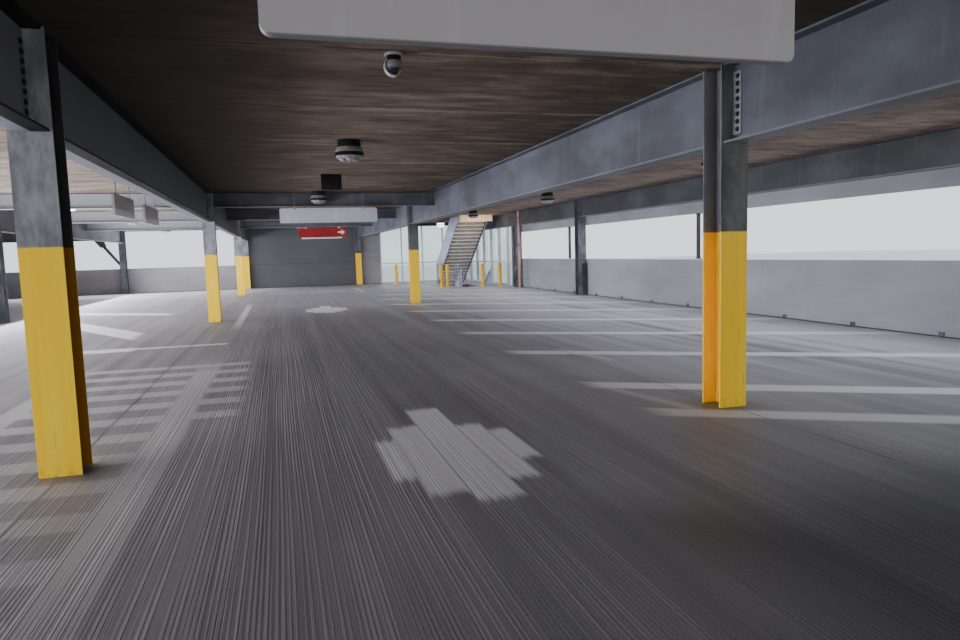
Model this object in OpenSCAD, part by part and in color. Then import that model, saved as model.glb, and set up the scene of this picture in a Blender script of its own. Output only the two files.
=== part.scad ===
// Steel-framed multi storey car park, as a scale model.
// Real sizes in millimetres, +X east, +Y north, +Z up. The last step of every
// module brings the real sizes down to the model and centres the plan.

/* [Model] */
// Size of the model against the real building
model_scale = 0.5; // [0.1:0.05:0.6]

/* [Plan] */
// Distance between the column lines, west to east
bay = 6100; // [5000:100:7400]
// Distance between the column rows, south to north
row_pitch = 17000; // [14000:100:20500]
// From a tie beam to the next, counted from the north end
tie_pitch_share = 0.4; // [0.36:0.01:0.42]
// Gap between neighbouring deck strips and wall panels
joint = 20; // [10:5:40]

/* [Storeys] */
// Thickness of the slab on the ground
ground_t = 250; // [150:10:400]
// From one floor to the next
storey = 3680; // [3100:10:4400]
// Thickness of a deck, planks and topping together
deck_t = 280; // [230:10:340]
// Width of a precast plank
plank_w = 2428; // [2030:1:2900]
// Depth of the open joint between two planks, seen from below
groove = 20; // [10:2:30]

/* [Steel] */
// Width and depth of a column
column_w = 305; // [250:5:370]
// Thickness of a column flange
column_flange = 16; // [10:1:25]
// Depth of a main girder
girder_d = 760; // [630:10:900]
// Depth of a girder at the long sides
edge_girder_d = 610; // [510:10:730]
// Width of a girder flange
girder_w = 266; // [220:2:300]
// Depth of a tie beam across the bays
tie_d = 360; // [300:10:430]
// Width of a tie beam flange
tie_w = 200; // [160:5:240]
// Depth of the beams at the end walls
end_beam_d = 150; // [120:10:180]
// Depth of the end beam over the braces
braced_beam_d = 600; // [500:10:700]
// Width of a brace
brace_w = 150; // [120:5:180]
// Thickness of the steel webs
web_t = 12; // [8:1:16]
// Bolted plate at the end of a girder, height
tab_h = 600; // [500:10:620]

/* [Wall panels] */
// Thickness of the precast walls
panel_t = 180; // [140:10:220]
// Clear gap between the columns and the walls
panel_gap = 8; // [4:1:20]
// Height of the parapet over a floor
parapet_h = 1300; // [1070:10:1500]
// Underside of the next panel over a floor, at the long sides
header_z = 2500; // [2100:10:2750]
// Steel posts between parapet and header, width
post_w = 75; // [60:5:100]
// Spacing of the connection plates at the foot of the walls
plate_pitch = 1889; // [1500:1:2300]
// Bevel along the top edges of the walls
bevel = 20; // [10:2:30]
// Width of the solid pier beside the closed aisle end
pier_w = 600; // [500:10:720]

/* [Ramps] */
// Start of the ramps from the south face
ramp_start = 3000; // [2500:100:3600]
// Length of a ramp as a share of the building's length
ramp_share = 0.55; // [0.5:0.01:0.6]
// Height of the walls beside the ramps
ramp_wall_h = 1000; // [800:10:1200]
// Thickness of the walls beside the ramps
ramp_wall_t = 130; // [100:10:150]

/* [Stair] */
// Width of a flight between its stringers
flight_w = 1440; // [1200:10:1700]
// Steps in a flight
risers = 21; // [18:1:24]
// Depth of a tread
going = 270; // [230:5:300]
// From the north face to the top step
stair_back = 8000; // [7600:100:8400]
// Depth of a stringer
stringer_d = 320; // [250:10:380]
// Clear gap round a flight where it passes a deck
well_gap = 70; // [50:10:120]
// Height of the side panels over the steps
guard_h = 900; // [850:10:1080]
// Diameter of a handrail
rail_d = 42; // [34:2:50]

/* [Stair tower] */
// Length of the glazed side, south to north
tower_l = 9600; // [9300:100:10000]
// Glazed width of the north face
tower_glass_w = 4980; // [4200:10:5400]
// From the top deck to the roof of the tower
tower_h = 2800; // [2400:10:3300]
// Thickness of the tower roof
tower_roof_t = 200; // [150:10:260]
// Width of a window post
mullion_w = 60; // [50:5:80]
// Spacing of the window posts
mullion_pitch = 1550; // [1300:10:1850]
// Height of the lower window rail over a floor
rail_z = 1100; // [900:10:1300]

/* [Fittings] */
// Height of a bollard
bollard_h = 1100; // [900:10:1300]
// Diameter of a bollard
bollard_d = 165; // [140:5:190]
// Length of a hanging board
board_l = 2600; // [2200:10:3000]
// Height of a hanging board
board_h = 400; // [330:10:480]
// Underside of the hanging boards over the floor
board_z = 2560; // [2400:10:2700]
// Diameter of a ceiling light
light_d = 420; // [350:10:500]
// Height of a ceiling light
light_h = 260; // [210:10:310]
// Spacing of the ceiling lights along a bay
light_pitch = 8500; // [7100:100:10200]

/* [Hidden] */

$fn = 32;
eps = 1;
lines = 5;
rows = 3;
width = lines * bay;
length = rows * row_pitch;
half_col = column_w / 2;
tie_pitch = tie_pitch_share * row_pitch;

// Outer faces of the decks, which are the inner faces of the walls
deck_x0 = -half_col - panel_gap;
deck_x1 = width + half_col + panel_gap;
deck_y0 = -half_col - panel_gap;
deck_y1 = length + half_col + panel_gap;

// Rows of the columns, and the rows beside the aisle that differ
main_rows = [for (i = [0 : rows]) i * row_pitch];
aisle_rows = [0, row_pitch, length - 3 * tie_pitch, length - tie_pitch, length];
tie_rows = [length - 3 * tie_pitch, length - 2 * tie_pitch, length - tie_pitch];

// Ramps run between the second and the third column line
ramp_run = ramp_share * length;
ramp_end = ramp_start + ramp_run;
ramp_x0 = bay + half_col + panel_gap;
ramp_x1 = 2 * bay - half_col - panel_gap;

// The stair and the glazed corner that it stands in
step_h = storey / risers;
pitch = step_h / going;
lap = 60;
flight_run = (risers - 1) * going;
stair_y0 = length - stair_back;
stair_y1 = stair_y0 + flight_run;
stair_x1 = width - 660;
stair_x0 = stair_x1 - flight_w;
well_end = stair_y1 - 2.2 * going;
tower_y0 = deck_y1 - tower_l;
tower_x0 = deck_x1 - tower_glass_w;
roof_z = top_of(2) + tower_h;

// Column lines, floor heights and other places that follow from them
function line_x(i) = i * bay;
function top_of(level) = ground_t + level * storey;
function soffit_of(level) = top_of(level + 1) - deck_t;

// Outline of a rolled section with two flanges, centred
function rolled(w, d, flange, web) = [
    [-w / 2, -d / 2], [w / 2, -d / 2], [w / 2, -d / 2 + flange],
    [web / 2, -d / 2 + flange], [web / 2, d / 2 - flange], [w / 2, d / 2 - flange],
    [w / 2, d / 2], [-w / 2, d / 2], [-w / 2, d / 2 - flange],
    [-web / 2, d / 2 - flange], [-web / 2, -d / 2 + flange], [-w / 2, -d / 2 + flange]
];

// Brings real sizes into the model, with the plan centred on the origin
module in_model() {
    scale(model_scale) translate([-width / 2, -length / 2, 0]) children();
}

// Box between two corners
module span(a, b) {
    translate(a) cube(b - a);
}

// Column standing at x, y between two heights, flanges to the south and north
module column(x, y, z0, z1) {
    translate([x, y, z0]) linear_extrude(z1 - z0)
        polygon(rolled(column_w, column_w, column_flange, web_t));
}

// Beam along Y with its top at z
module beam_y(x, y0, y1, z, w, d, flange) {
    translate([x, y1, z - d / 2]) rotate([90, 0, 0]) linear_extrude(y1 - y0)
        polygon(rolled(w, d, flange, web_t));
}

// Beam along X with its top at z
module beam_x(x0, x1, y, z, w, d, flange) {
    translate([x0, y, z - d / 2]) rotate([90, 0, 90]) linear_extrude(x1 - x0)
        polygon(rolled(w, d, flange, web_t));
}

// All the columns of one line, storey by storey
module column_line(i, stations) {
    for (level = [0, 1], y = stations)
        column(line_x(i), y, top_of(level), soffit_of(level));
}

// Girders of one line between its columns, storey by storey
module girder_line(i, stations, w, d) {
    for (level = [0, 1], k = [0 : len(stations) - 2])
        beam_y(line_x(i), stations[k] + half_col, stations[k + 1] - half_col,
               soffit_of(level), w, d, 20);
}

// One strip of deck between two lines, with open plank joints underneath
module deck_strip(level, x0, x1, y0, y1) {
    z = top_of(level) - deck_t;
    difference() {
        span([x0, y0, z], [x1, y1, top_of(level)]);
        for (y = [plank_w : plank_w : deck_y1])
            if (y > y0 + 4 * groove && y < y1 - 4 * groove)
                translate([x0 - eps, y, z]) rotate([90, 0, 90])
                    linear_extrude(x1 - x0 + 2 * eps)
                        polygon([[-groove - eps, -eps], [groove + eps, -eps], [0, groove]]);
    }
}

// Left and right edge of the deck in a bay
function bay_x0(i) = i == 0 ? deck_x0 : line_x(i) + joint / 2;
function bay_x1(i) = i == lines - 1 ? deck_x1 : line_x(i + 1) - joint / 2;

module ground_slab() {
    color("dimgray") in_model()
        span([deck_x0 - panel_t, deck_y0 - panel_t, 0],
             [deck_x1 + panel_t, deck_y1 + panel_t, ground_t]);
}

// Outer stall bay and what is left of the ramp bay
module deck_west(level) {
    deck_strip(level, bay_x0(0), bay_x1(0), deck_y0, deck_y1);
    deck_strip(level, bay_x0(1), bay_x1(1), deck_y0, ramp_start);
    deck_strip(level, bay_x0(1), bay_x1(1), ramp_end, deck_y1);
}

// Middle stall bay and the aisle bay
module deck_aisle(level) {
    for (i = [2, 3])
        deck_strip(level, bay_x0(i), bay_x1(i), deck_y0, deck_y1);
}

// East stall bay, with the stair well at its north end
module deck_east(level) {
    south = stair_y0;
    difference() {
        deck_strip(level, bay_x0(4), bay_x1(4), deck_y0, deck_y1);
        span([stair_x0 - well_gap, south, top_of(level) - deck_t - eps],
             [stair_x1 + well_gap, well_end, top_of(level) + eps]);
    }
}

module deck_2_west() color("gray") in_model() deck_west(1);
module deck_2_aisle() color("gray") in_model() deck_aisle(1);
module deck_2_east() color("gray") in_model() deck_east(1);
module deck_3_west() color("gray") in_model() deck_west(2);
module deck_3_aisle() color("gray") in_model() deck_aisle(2);
module deck_3_east() color("gray") in_model() deck_east(2);

module columns_west() color("lightslategray") in_model() column_line(0, main_rows);
module columns_ramp() color("lightslategray") in_model()
    for (i = [1, 2]) column_line(i, main_rows);
module columns_aisle_west() color("gold") in_model() column_line(3, aisle_rows);
module columns_aisle_east() color("gold") in_model() column_line(4, main_rows);

// The east line also has a column and a square post at the end of the wall
module columns_east() color("lightslategray") in_model() {
    column_line(5, main_rows);
    for (level = [0, 1]) {
        top = soffit_of(level) - edge_girder_d;
        column(line_x(5), tower_y0 - 700, top_of(level), top);
        span([deck_x1 - 160, tower_y0 + 20, top_of(level)],
             [deck_x1 - 10, tower_y0 + 170, top]);
    }
}

module girders_ramp() color("slategray") in_model()
    for (i = [1, 2]) girder_line(i, main_rows, girder_w, girder_d);
module girders_aisle_west() color("slategray") in_model()
    girder_line(3, aisle_rows, girder_w, girder_d);
module girders_aisle_east() color("slategray") in_model()
    girder_line(4, main_rows, girder_w, girder_d);
module edge_girders() color("slategray") in_model()
    for (i = [0, 5]) girder_line(i, main_rows, girder_w, edge_girder_d);

// Tie beams across the bays, the north half where seen, and the end beams
module tie_beams() {
    color("slategray") in_model()
        for (level = [0, 1]) {
            for (i = [0 : lines - 1], y = [0, length])
                tie(i, y, soffit_of(level), i == 1 ? braced_beam_d : end_beam_d);
            for (i = [0 : 3], y = tie_rows)
                if (i > 1 || y > ramp_end)
                    tie(i, y, soffit_of(level) - 20, tie_d);
        }
}

// Beam in bay i with its top at z, between the webs of girders or columns
module tie(i, y, z, d) {
    beam_x(line_x(i) + web_t / 2, line_x(i + 1) - web_t / 2, y, z, tie_w, d, 14);
}

// Plate that bolts a girder web to the column flange, at each girder end
module shear_tabs() {
    color("darkgray") in_model()
        for (level = [0, 1]) {
            for (i = [1, 2, 4]) tabs(line_x(i), main_rows, level);
            tabs(line_x(3), aisle_rows, level);
        }
}

module tabs(x, stations, level) {
    top = soffit_of(level) - (girder_d - tab_h) / 2;
    for (k = [0 : len(stations) - 2], end = [0, 1]) {
        y = end == 0 ? stations[k] + half_col : stations[k + 1] - half_col - 110;
        span([x - web_t / 2 - 12, y, top - tab_h], [x - web_t / 2, y + 110, top]);
    }
}

// Heights of the wall bands at the long sides and at the ends
function band_z0(level, low) = level == 0 ? ground_t : top_of(level - 1) + low;
function band_z1(level) = top_of(level) + parapet_h;

// Section of a wall with bevelled top edges
function wall_section(a0, a1, z0, z1) = [
    [a0, z0], [a1, z0], [a1, z1 - bevel], [a1 - bevel, z1], [a0 + bevel, z1], [a0, z1 - bevel]
];

// Bevelled wall along Y
module wall_y(x0, x1, y0, y1, z0, z1) {
    translate([0, y1, 0]) rotate([90, 0, 0]) linear_extrude(y1 - y0)
        polygon(wall_section(x0, x1, z0, z1));
}

// Bevelled wall along X
module wall_x(x0, x1, y0, y1, z0, z1) {
    translate([x0, 0, 0]) rotate([90, 0, 90]) linear_extrude(x1 - x0)
        polygon(wall_section(y0, y1, z0, z1));
}

// Ends of the panels along a long side, one panel a bay
function panel_ends(limit) = [for (y = main_rows) if (y < limit - row_pitch / 3) y];

// Precast walls at one long side, from x0 to x1, ending in the north at limit
module long_side(x0, x1, limit) {
    starts = panel_ends(limit);
    for (level = [0 : 2], k = [0 : len(starts) - 1]) {
        y0 = k == 0 ? deck_y0 : starts[k] + joint / 2;
        y1 = k == len(starts) - 1 ? limit : starts[k + 1] - joint / 2;
        wall_y(x0, x1, y0, y1, band_z0(level, header_z), band_z1(level));
    }
}

module panels_east() {
    color("gainsboro") in_model()
        long_side(deck_x1, deck_x1 + panel_t, tower_y0);
}

module panels_west() {
    color("gainsboro") in_model()
        long_side(deck_x0 - panel_t, deck_x0, deck_y1);
}

// Lower edge of the end panels, level with the underside of the end beams
end_low = storey - deck_t - end_beam_d;

// Precast walls at one end, for the bays in the list
module end_side(y0, y1, level, bays) {
    for (i = bays) {
        x0 = i == 0 ? deck_x0 - panel_t : line_x(i) + joint / 2;
        x1 = i == lines - 1 ? deck_x1 + panel_t : line_x(i + 1) - joint / 2;
        wall_x(x0, x1, y0, y1, band_z0(level, end_low), band_z1(level));
    }
}

module panels_north() {
    color("gainsboro") in_model() {
        for (level = [0 : 2]) end_side(deck_y1, deck_y1 + panel_t, level, [0, 1, 2, 3]);
        span([line_x(4) + joint / 2, deck_y1, ground_t],
             [tower_x0, deck_y1 + panel_t, roof_z]);
    }
}

module panels_south() {
    color("gainsboro") in_model() {
        end_side(deck_y0 - panel_t, deck_y0, 0, [0, 2, 4]);
        for (level = [1, 2])
            end_side(deck_y0 - panel_t, deck_y0, level, [0 : lines - 1]);
    }
}

// Solid walls over the parapets, which close the aisle at its ends, and a pier
// beside each
module end_walls() {
    color("lightgray") in_model()
        for (wall = [[deck_y1, 0], [deck_y1, 1], [deck_y0 - panel_t, 1]],
             x = [[line_x(3) + joint / 2, line_x(4) - joint / 2],
                  [line_x(3) - pier_w, line_x(3) - joint / 2]])
            span([x[0], wall[0], band_z1(wall[1])],
                 [x[1], wall[0] + panel_t, top_of(wall[1]) + end_low]);
}

// Slim posts that tie the header to the parapet at the long sides
module parapet_posts() {
    color("slategray") in_model()
        for (level = [0, 1], k = [0 : 4], x = [deck_x0 - panel_t / 2, deck_x1 + panel_t / 2]) {
            y = row_pitch * (0.09 + 0.5 * k);
            if (y < tower_y0 - post_w)
                translate([x - post_w / 2, y - post_w / 2, band_z1(level)])
                    cube([post_w, post_w, header_z - parapet_h]);
        }
}

// Connection plates at the foot of the long walls
module panel_plates() {
    color("silver") in_model()
        for (level = [1, 2], x = [deck_x0, deck_x1 - 12],
             y = [plate_pitch / 2 : plate_pitch : tower_y0 - plate_pitch / 3])
            if (min([for (r = main_rows) abs(y - r)]) > column_w)
                translate([x, y - 60, top_of(level)]) cube([12, 120, 90]);
}

// Guards in front of the columns at the long sides, each with a round head
module column_guards() {
    r = 75;
    color("dimgray") in_model()
        for (level = [0, 1], y = [for (k = [1 : rows - 1]) main_rows[k]], side = [0, 1]) {
            x = side == 0 ? line_x(0) - 65 : line_x(5) + 65;
            translate([x, y - half_col, top_of(level)]) rotate([90, 0, 0]) linear_extrude(90)
                union() {
                    translate([-r, 0]) square([2 * r, 1150 - r]);
                    translate([0, 1150 - r]) circle(r);
                }
        }
}

// Braces from the third column line up to the deep end beam, each with a
// gusset plate at its head; none stands in the ramp entrance
module knee_braces() {
    color("slategray") in_model()
        for (place = [[0, length], [1, length], [1, 0]]) {
            z0 = top_of(place[0]) + parapet_h - 60;
            z1 = soffit_of(place[0]) - braced_beam_d;
            x0 = line_x(2) - web_t / 2;
            run = 0.76 * (z1 - z0);
            thick = brace_w * 1.25;
            translate([0, place[1] + brace_w / 3, 0]) rotate([90, 0, 0])
                linear_extrude(brace_w / 1.5)
                    polygon([[x0, z0], [x0, z0 + thick], [x0 - run + thick, z1], [x0 - run, z1]]);
            translate([0, place[1] + 8, 0]) rotate([90, 0, 0]) linear_extrude(16)
                polygon([[x0 - run - 120, z1], [x0 - run + thick + 160, z1],
                         [x0 - run + thick + 260, z1 - 300], [x0 - run + 180, z1 - 380]]);
        }
}

// Ramp slab from one floor to the next, with a flat foot at its low end
module ramp(level) {
    z0 = top_of(level);
    foot = level == 0 ? 0 : deck_t;
    lip = deck_t * ramp_run / storey;
    translate([ramp_x0, 0, 0]) rotate([90, 0, 90]) linear_extrude(ramp_x1 - ramp_x0)
        polygon(level == 0
            ? [[ramp_start, z0], [ramp_start + lip, z0], [ramp_end, z0 + storey - deck_t],
               [ramp_end, z0 + storey]]
            : [[ramp_start, z0 - deck_t], [ramp_end, z0 + storey - deck_t],
               [ramp_end, z0 + storey], [ramp_start, z0]]);
}

module ramp_1() color("gray") in_model() ramp(0);
module ramp_2() color("gray") in_model() ramp(1);

// Height of the ramp surface over its lower floor
function ramp_z(y) = storey * (y - ramp_start) / ramp_run;

// Beams under the ramps at the column row that they pass
module ramp_beams() {
    color("slategray") in_model()
        for (level = [0, 1]) {
            z = top_of(level) + ramp_z(row_pitch - tie_w / 2) - deck_t;
            tie(1, row_pitch, z, tie_d);
        }
}

// Sloping walls along both edges of the ramps
module ramp_walls() {
    color("gainsboro") in_model()
        for (level = [0, 1], x = [ramp_x0, ramp_x1 - ramp_wall_t]) {
            z0 = top_of(level);
            z1 = z0 + storey;
            translate([x, 0, 0]) rotate([90, 0, 90]) linear_extrude(ramp_wall_t)
                polygon([[ramp_start, z0], [ramp_end, z1], [ramp_end, z1 + ramp_wall_h],
                         [ramp_start, z0 + ramp_wall_h]]);
        }
}

// Walls on the decks along both sides of the ramp opening, and over its low end
module opening_walls() {
    color("gainsboro") in_model() {
        span([bay_x0(1), ramp_start - ramp_wall_t, top_of(2)],
             [bay_x1(1), ramp_start, top_of(2) + ramp_wall_h]);
        for (level = [1, 2], side = [0, 1], part = [0, 1]) {
            x = side == 0 ? line_x(1) - joint - ramp_wall_t : line_x(2) + joint;
            y0 = part == 0 ? ramp_start : row_pitch + half_col + joint;
            y1 = part == 0 ? row_pitch - half_col - joint : ramp_end;
            span([x, y0, top_of(level)], [x + ramp_wall_t, y1, top_of(level) + ramp_wall_h]);
        }
    }
}

// Two stringers to a flight; the flights climb to the south
module stair_stringers() {
    color("dimgray") in_model()
        for (level = [0, 1], x = [stair_x0 - 12, stair_x1]) {
            z0 = top_of(level);
            z1 = z0 + storey;
            foot = stair_y1 + going;
            translate([x, 0, 0]) rotate([90, 0, 90]) linear_extrude(12)
                polygon([
                    [stair_y0, z1], [stair_y0, z1 + lap - stringer_d],
                    [foot - (stringer_d - lap) / pitch, z0],
                    [foot + lap / pitch, z0], [stair_y0 + lap / pitch, z1]
                ]);
        }
}

// Steel pans that make a tread and the riser below it
module stair_treads() {
    color("darkgray") in_model()
        for (level = [0, 1], k = [1 : risers - 1]) {
            z = top_of(level) + k * step_h;
            y = stair_y1 + going - k * going;
            translate([stair_x0, 0, 0]) rotate([90, 0, 90]) linear_extrude(flight_w)
                polygon([
                    [y, z], [y - going + 4, z], [y - going + 4, z - 50],
                    [y - 12, z - 50], [y - 12, z - step_h + 6], [y, z - step_h + 6]
                ]);
        }
}

// Pale side panels fixed to the stringers
module stair_guards() {
    color("whitesmoke") in_model()
        for (level = [0, 1], x = [stair_x0 - 12 - 25, stair_x1 + 12]) {
            z0 = top_of(level);
            z1 = z0 + storey;
            y1 = stair_y1 + 0.3 * going;
            low = stringer_d - lap;
            translate([x, 0, 0]) rotate([90, 0, 90]) linear_extrude(25)
                polygon([
                    [stair_y0, z1 - low], [stair_y0, z1 + guard_h],
                    [y1, z1 + guard_h - (y1 - stair_y0) * pitch], [y1, z0 + 20],
                    [stair_y0 + (storey - low - 20) / pitch, z0 + 20]
                ]);
        }
}

// Round handrails on brackets inside the flights
module handrails() {
    tilt = atan(pitch);
    l = (flight_run - 120) / cos(tilt);
    for (level = [0, 1], side = [0, 1]) {
        wall = side == 0 ? stair_x0 - 12 : stair_x1 + 12;
        x = side == 0 ? stair_x0 + 55 : stair_x1 - 55;
        translate([0, stair_y1 - 60, top_of(level) + step_h + guard_h - 140 + 60 * pitch])
            rotate([90 - tilt, 0, 0]) {
                translate([x, 0, 0]) cylinder(h = l, d = rail_d);
                for (t = [0.08, 0.36, 0.64, 0.92])
                    translate([min(wall, x), 0, t * l]) rotate([0, 90, 0])
                        cylinder(h = abs(wall - x), d = rail_d / 2.5);
            }
    }
}

// Handrails, and steel rails west of the wells and north of the upper one
module stair_rails() {
    color("lightslategray") in_model() {
        handrails();
        for (level = [1, 2]) {
            x0 = stair_x0 - well_gap - 60;
            translate([x0, stair_y0, top_of(level)]) rotate([90, 0, 90])
                rail_panel(well_end - stair_y0 + 60);
            if (level == 2)
                translate([x0 + 60, well_end + 60, top_of(level)]) rotate([90, 0, 0])
                    rail_panel(flight_w + 2 * well_gap);
        }
    }
}

// Posts and three rails, drawn flat and raised 40 thick
module rail_panel(l) {
    posts = ceil(l / 1500);
    linear_extrude(40) {
        for (k = [0 : posts])
            translate([k * (l - 40) / posts, 0]) square([40, 1070]);
        for (z = [330, 680, 1030])
            translate([0, z]) square([l, 40]);
    }
}

// Places of the window posts along the two glazed faces
posts_n = ceil(tower_l / mullion_pitch);
posts_w = ceil(tower_glass_w / mullion_pitch);
function post_y(k) = tower_y0 + mullion_w / 2 + k * (tower_l - mullion_w) / posts_n;
function post_x(k) = tower_x0 + mullion_w / 2 + k * (tower_glass_w - mullion_w) / posts_w;
mullion_d = 140;

module tower_mullions() {
    color("white") in_model() {
        for (k = [0 : posts_n])
            translate([deck_x1, post_y(k) - mullion_w / 2, ground_t])
                cube([mullion_d, mullion_w, roof_z - ground_t]);
        for (k = [0 : posts_w - 1])
            translate([post_x(k) - mullion_w / 2, deck_y1, ground_t])
                cube([mullion_w, mullion_d, roof_z - ground_t]);
    }
}

// Heights of the rails between the window posts
rail_levels = [for (level = [0 : 2], z = [0, rail_z]) top_of(level) + z];

module tower_rails() {
    color("white") in_model()
        for (z = rail_levels) {
            for (k = [0 : posts_n - 1])
                span([deck_x1, post_y(k) + mullion_w / 2, z],
                     [deck_x1 + mullion_d, post_y(k + 1) - mullion_w / 2, z + mullion_w]);
            for (k = [0 : posts_w - 2])
                span([post_x(k) + mullion_w / 2, deck_y1, z],
                     [post_x(k + 1) - mullion_w / 2, deck_y1 + mullion_d, z + mullion_w]);
        }
}

module tower_glass() {
    color("lightcyan", 0.4) in_model()
        for (level = [0 : 2]) {
            z0 = top_of(level);
            z1 = level == 2 ? roof_z : top_of(level + 1) - joint;
            span([deck_x1 + mullion_d, tower_y0, z0],
                 [deck_x1 + mullion_d + 24, deck_y1 + mullion_d, z1]);
            span([tower_x0, deck_y1 + mullion_d, z0],
                 [deck_x1 + mullion_d - joint, deck_y1 + mullion_d + 24, z1]);
        }
}

// Walls of the tower over the top deck, with a doorway to the south
door_w = 1100;
door_h = 2150;
wall_x0 = line_x(4) + joint / 2;

module tower_walls() {
    color("gainsboro") in_model() {
        z0 = top_of(2);
        door_x = stair_x0 - well_gap - 500 - door_w;
        span([wall_x0, tower_y0, z0], [wall_x0 + panel_t, deck_y1, roof_z]);
        span([wall_x0 + panel_t + joint, tower_y0, z0], [door_x, tower_y0 + panel_t, roof_z]);
        span([door_x + door_w, tower_y0, z0], [deck_x1, tower_y0 + panel_t, roof_z]);
        span([door_x + joint, tower_y0, z0 + door_h],
             [door_x + door_w - joint, tower_y0 + panel_t, roof_z]);
    }
}

// Roof slab with a kerb round it
module tower_roof() {
    kerb = 160;
    low = [line_x(4), tower_y0 - 100, roof_z];
    high = [deck_x1 + panel_t, deck_y1 + panel_t, roof_z + tower_roof_t];
    color("lightgray") in_model()
        difference() {
            span(low, high);
            span(low + [kerb, kerb, tower_roof_t * 0.7], high + [-kerb, -kerb, eps]);
        }
}

// Bollards before the stair and beside the glazed wall
module bollards() {
    color("gold") in_model()
        for (level = [0, 1], p = [
                [stair_x0 - 1100, stair_y0 - 400], [stair_x0 - 500, stair_y0 + 900],
                [stair_x0 + 900, stair_y0 - 450], [stair_x1 + 330, stair_y0 - 450],
                [tower_x0 + 500, deck_y1 - 2400], [tower_x0 + 1300, deck_y1 - 2400]])
            translate([p[0], p[1], top_of(level)]) {
                cylinder(h = bollard_h - 40, d = bollard_d);
                translate([0, 0, bollard_h - 40])
                    rotate_extrude() intersection() {
                        scale([1, 0.5]) circle(d = bollard_d);
                        square([bollard_d, bollard_d]);
                    }
            }
}

// Board with rounded corners that hangs from the soffit on two rods
module board(l, h, t, level, z) {
    r = 50;
    rod = 20;
    translate([0, 0, top_of(level) + z]) {
        rotate([90, 0, 0]) translate([0, 0, -t / 2]) linear_extrude(t)
            union() {
                translate([r, 0]) square([l - 2 * r, h]);
                translate([0, r]) square([l, h - 2 * r]);
                for (x = [r, l - r], y = [r, h - r]) translate([x, y]) circle(r);
            }
        for (x = [l * 0.15, l * 0.85])
            translate([x, 0, h - eps])
                cylinder(h = storey - deck_t - z - h + eps, d = rod);
    }
}

module hanging_boards() {
    color("lightgray") in_model() {
        for (p = [[0.279, 0.82 * row_pitch], [0.297, aisle_rows[2] - 300]])
            translate([line_x(3) + bay * p[0], p[1], 0])
                board(board_l, board_h, 50, 1, board_z);
        for (y = [aisle_rows[2] - 5200, aisle_rows[2] - 2100])
            translate([line_x(3) - 1200, y, 0]) rotate([0, 0, 90])
                board(board_l * 0.71, board_h, 50, 1, board_z);
    }
}

module arrow_sign() {
    color("firebrick") in_model()
        translate([line_x(3) + bay * 0.4, tie_rows[1] - 1300, 0]) board(1650, 330, 30, 1, 2330);
}

// Drum lights in the stall bays and over the aisle, and one at the foot of each flight
module ceiling_lights() {
    color("dimgray") in_model()
        for (level = [0, 1]) {
            for (lane = [[0.5, 0.25], [2.4, 0.785], [3.467, 0.56], [4.6, 0.647]],
                 y = [light_pitch * lane[1] : light_pitch :
                      (lane[0] > 4 ? stair_y0 : deck_y1) - light_d])
                translate([line_x(1) * lane[0], y, soffit_of(level)]) drum();
            translate([stair_x0 + 300, well_end + 700, soffit_of(level)]) drum();
        }
}

module drum() {
    r = light_d / 2;
    rotate_extrude() polygon([
        [0, 0], [0.82 * r, 0], [0.86 * r, -0.55 * light_h], [r, -0.62 * light_h],
        [r, -0.8 * light_h], [0.8 * r, -light_h], [0, -light_h]
    ]);
}

// Small camera and the dark back of a hanging box over the aisle
module soffit_boxes() {
    color("black") in_model() {
        translate([line_x(3) + 0.457 * bay, row_pitch + 80, soffit_of(1)]) {
            translate([0, 0, -60]) cylinder(h = 60, d = 130);
            translate([0, 0, -110]) sphere(d = 150);
        }
        translate([line_x(3) + 0.44 * bay, row_pitch + 9200, soffit_of(1) - 330])
            cube([430, 110, 330]);
    }
}

// Fire riser beside the end of the east wall
module standpipe() {
    color("firebrick") in_model()
        for (level = [0, 1])
            translate([width - girder_w / 2 - 80, tower_y0 - 1500, top_of(level)]) {
                cylinder(h = storey - deck_t, d = 115);
                translate([0, 0, 900]) rotate([0, -90, 0]) cylinder(h = 160, d = 70);
            }
}

ground_slab();
deck_2_west();
deck_2_aisle();
deck_2_east();
deck_3_west();
deck_3_aisle();
deck_3_east();
columns_west();
columns_ramp();
columns_aisle_west();
columns_aisle_east();
columns_east();
girders_ramp();
girders_aisle_west();
girders_aisle_east();
edge_girders();
tie_beams();
shear_tabs();
panels_east();
panels_west();
panels_north();
panels_south();
end_walls();
parapet_posts();
panel_plates();
column_guards();
knee_braces();
ramp_1();
ramp_2();
ramp_beams();
ramp_walls();
opening_walls();
stair_stringers();
stair_treads();
stair_guards();
stair_rails();
tower_mullions();
tower_rails();
tower_glass();
tower_walls();
tower_roof();
bollards();
hanging_boards();
arrow_sign();
ceiling_lights();
soffit_boxes();
standpipe();
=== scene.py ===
"""Looks of a steel-framed multi storey car park, modelled at half its real size.

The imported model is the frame. Each section finishes one group of its pieces, in
the order in which such a building goes up. Sizes are in metres of the model.
Where a finish depends on a place, the place is in metres of the real building,
set out from its south-west corner column, as a painter would.
"""

import bpy
import numpy as np
from mathutils import Matrix, Vector


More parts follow.
